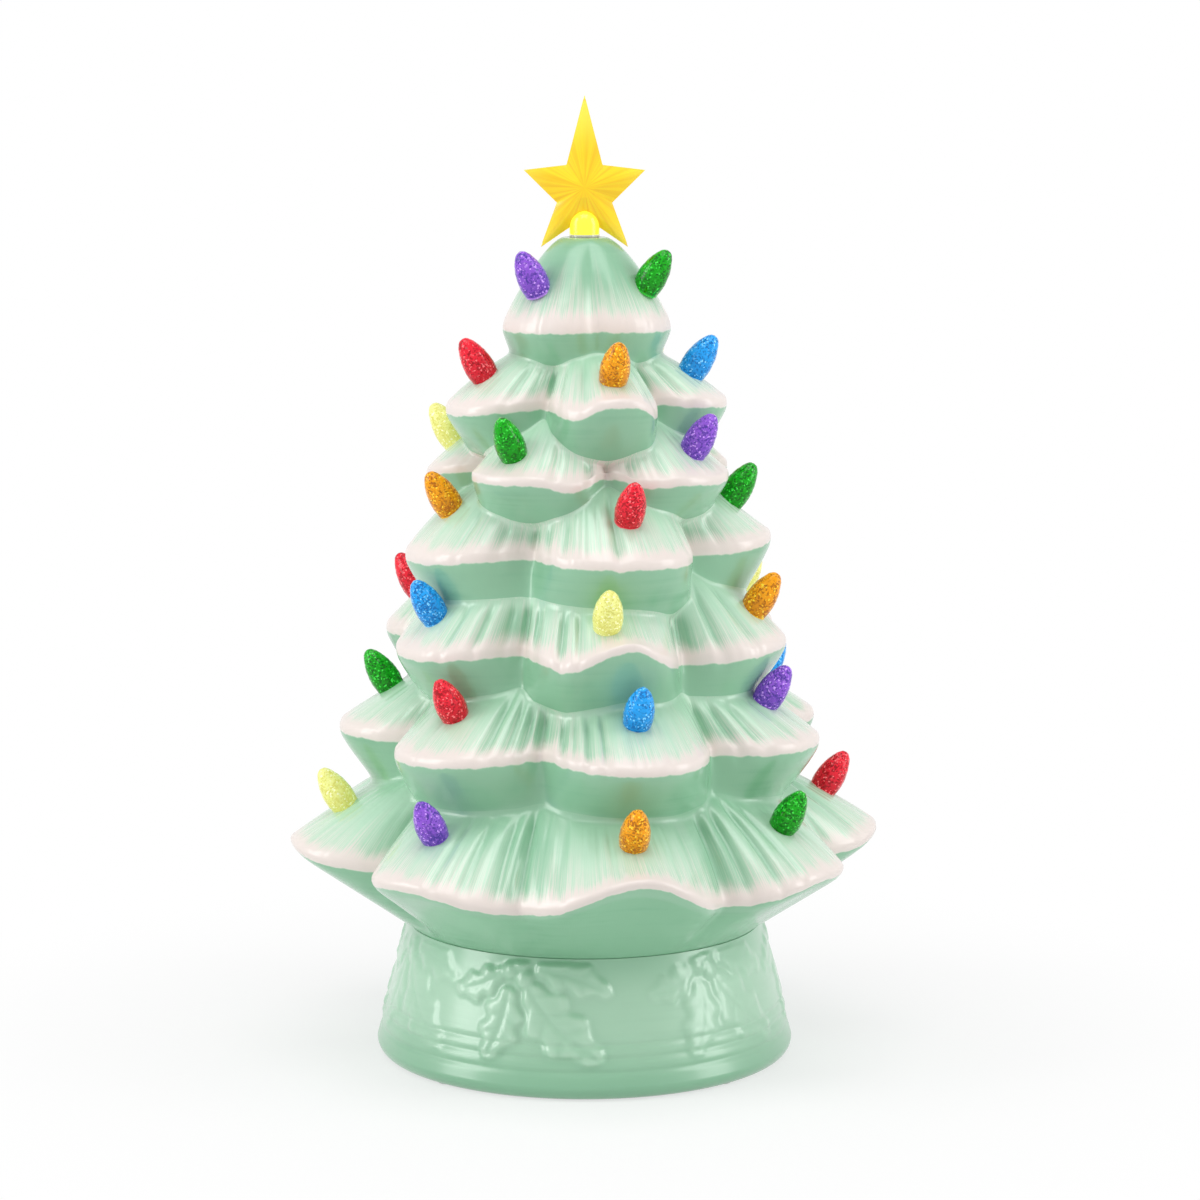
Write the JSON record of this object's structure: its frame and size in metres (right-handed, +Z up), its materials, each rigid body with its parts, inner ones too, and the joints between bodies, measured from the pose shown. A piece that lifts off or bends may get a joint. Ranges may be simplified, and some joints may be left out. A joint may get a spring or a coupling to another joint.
{
  "type": "ceramic christmas tree",
  "caption": "Lighted tabletop christmas tree: hollow glazed ceramic casting of drooping bough tiers with glued bulbs, turning star topper, round lamp base and battery bay.",
  "frame": {"origin": "on the table surface, under the trunk axis", "axes": "+Z up the trunk axis, -Y towards the front, +X to the viewer's right"},
  "size_m": [0.2519, 0.2521, 0.4065],
  "materials": {
    "green_glaze": "gloss glaze with brushed white snow",
    "star_yellow": "translucent gloss",
    "peg_clear": "translucent gloss",
    "plate_plastic": "fine moulded",
    "cell_jacket": "printed sleeve, plain",
    "contact_metal": "nickel plate",
    "board_green": "solder mask",
    "switch_plastic": "fine moulded",
    "post_metal": "satin",
    "pad_rubber": "matte",
    "led_white": "white solder mask",
    "lamp_frost": "frosted",
    "lead_sleeve": "satin",
    "bulb_red": "glitter-filled translucent",
    "bulb_gold": "glitter-filled translucent",
    "bulb_blue": "glitter-filled translucent",
    "bulb_green": "glitter-filled translucent",
    "bulb_purple": "glitter-filled translucent",
    "bulb_clear": "glitter-filled translucent"
  },
  "bodies": {
    "base": {"base_shell": "green_glaze", "battery_cells": "cell_jacket", "battery_contacts": "contact_metal", "board_screws": "contact_metal", "bottom_plate": "plate_plastic", "circuit_board": "board_green", "deck_nut": "post_metal", "deck_washer": "pad_rubber", "foot_pads": "pad_rubber", "lamp_cover": "lamp_frost", "lamp_leads": "lead_sleeve", "lamp_post": "post_metal", "lamp_socket": "plate_plastic", "led_board": "led_white"},
    "tree": {"tree_shell": "green_glaze", "bulb_row1_1_purple": "bulb_purple", "bulb_row1_2_green": "bulb_green", "bulb_row1_3_red": "bulb_red", "bulb_row2_1_red": "bulb_red", "bulb_row2_2_gold": "bulb_gold", "bulb_row2_3_blue": "bulb_blue", "bulb_row2_4_clear": "bulb_clear", "bulb_row2_5_green": "bulb_green", "bulb_row3_1_clear": "bulb_clear", "bulb_row3_2_green": "bulb_green", "bulb_row3_3_purple": "bulb_purple", "bulb_row3_4_red": "bulb_red", "bulb_row3_5_gold": "bulb_gold", "bulb_row4_1_gold": "bulb_gold", "bulb_row4_2_red": "bulb_red", "bulb_row4_3_green": "bulb_green", "bulb_row4_4_blue": "bulb_blue", "bulb_row4_5_purple": "bulb_purple", "bulb_row5_1_red": "bulb_red", "bulb_row5_2_blue": "bulb_blue", "bulb_row5_3_clear": "bulb_clear", "bulb_row5_4_gold": "bulb_gold", "bulb_row5_5_clear": "bulb_clear", "bulb_row5_6_green": "bulb_green", "bulb_row6_1_green": "bulb_green", "bulb_row6_2_red": "bulb_red", "bulb_row6_3_blue": "bulb_blue", "bulb_row6_4_purple": "bulb_purple", "bulb_row6_5_blue": "bulb_blue", "bulb_row6_6_gold": "bulb_gold", "bulb_row6_7_red": "bulb_red", "bulb_row7_1_clear": "bulb_clear", "bulb_row7_2_purple": "bulb_purple", "bulb_row7_3_gold": "bulb_gold", "bulb_row7_4_green": "bulb_green", "bulb_row7_5_red": "bulb_red", "bulb_row7_6_clear": "bulb_clear", "bulb_row7_7_purple": "bulb_purple", "bulb_row7_8_blue": "bulb_blue"},
    "star_peg": {"star_peg": "peg_clear"},
    "star": {"star": "star_yellow", "star_hub": "star_yellow"},
    "switch_slider": {"switch_slider": "switch_plastic"},
    "battery_door": {"battery_door": "plate_plastic"}
  },
  "joints": [
    {"name": "tree_lift", "type": "slide", "parent": "base", "child": "tree", "axis": [0, 0, 1], "range_m": [0, 0.12]},
    {"name": "star_lift", "type": "slide", "parent": "tree", "child": "star_peg", "axis": [0, 0, 1], "range_m": [0, 0.03]},
    {"name": "star_turn", "type": "hinge", "parent": "star_peg", "child": "star", "pos_m": [0, 0, 0.3488], "axis": [0, 0, 1], "continuous": true},
    {"name": "switch_slide", "type": "slide", "parent": "base", "child": "switch_slider", "axis": [1, 0, 0], "range_m": [-0.0025, 0.0025]},
    {"name": "battery_door_hinge", "type": "hinge", "parent": "base", "child": "battery_door", "pos_m": [0, -0.05545, 0.0044], "axis": [1, 0, 0], "range_deg": [-100, 0]}
  ]
}
